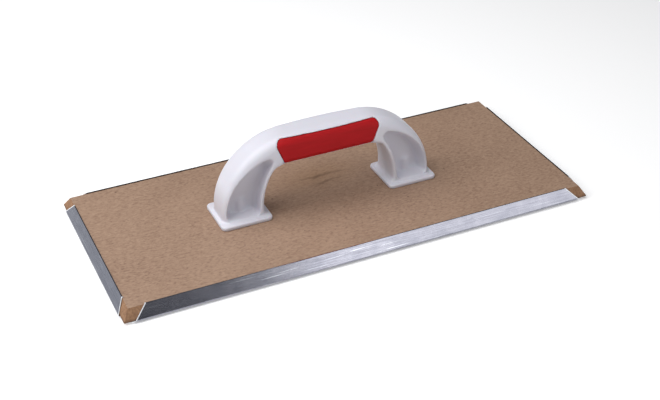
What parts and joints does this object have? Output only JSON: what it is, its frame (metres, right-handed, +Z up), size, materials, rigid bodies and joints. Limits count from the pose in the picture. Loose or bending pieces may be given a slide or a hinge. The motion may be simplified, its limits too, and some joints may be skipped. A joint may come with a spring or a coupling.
{
  "type": "dry rasping hand float",
  "caption": "Long flat rasping float: bevelled fibreboard blade in a folded galvanised steel tray with punched teeth, and a plastic D-handle with soft inlays.",
  "frame": {"origin": "middle of the working face, on the plane that the tooth tips touch", "axes": "+X along the blade's length and the handle, +Y away from the user, +Z up from the working face to the handle"},
  "size_m": [0.4, 0.175, 0.0793],
  "materials": {
    "fibreboard": "matt, smooth pressed face",
    "galvanised_steel": "satin zinc coating with fine lengthwise scratches",
    "handle_plastic": "moulded, satin",
    "soft_inlay": "matt, overmoulded",
    "screw_steel": "bright zinc plated"
  },
  "bodies": {
    "root": {"base_board": "fibreboard", "rasp_plate": "galvanised_steel", "handle_body": "handle_plastic", "grip_inlay_front": "soft_inlay", "grip_inlay_rear": "soft_inlay", "handle_screw_left": "screw_steel", "handle_screw_right": "screw_steel"}
  },
  "joints": []
}
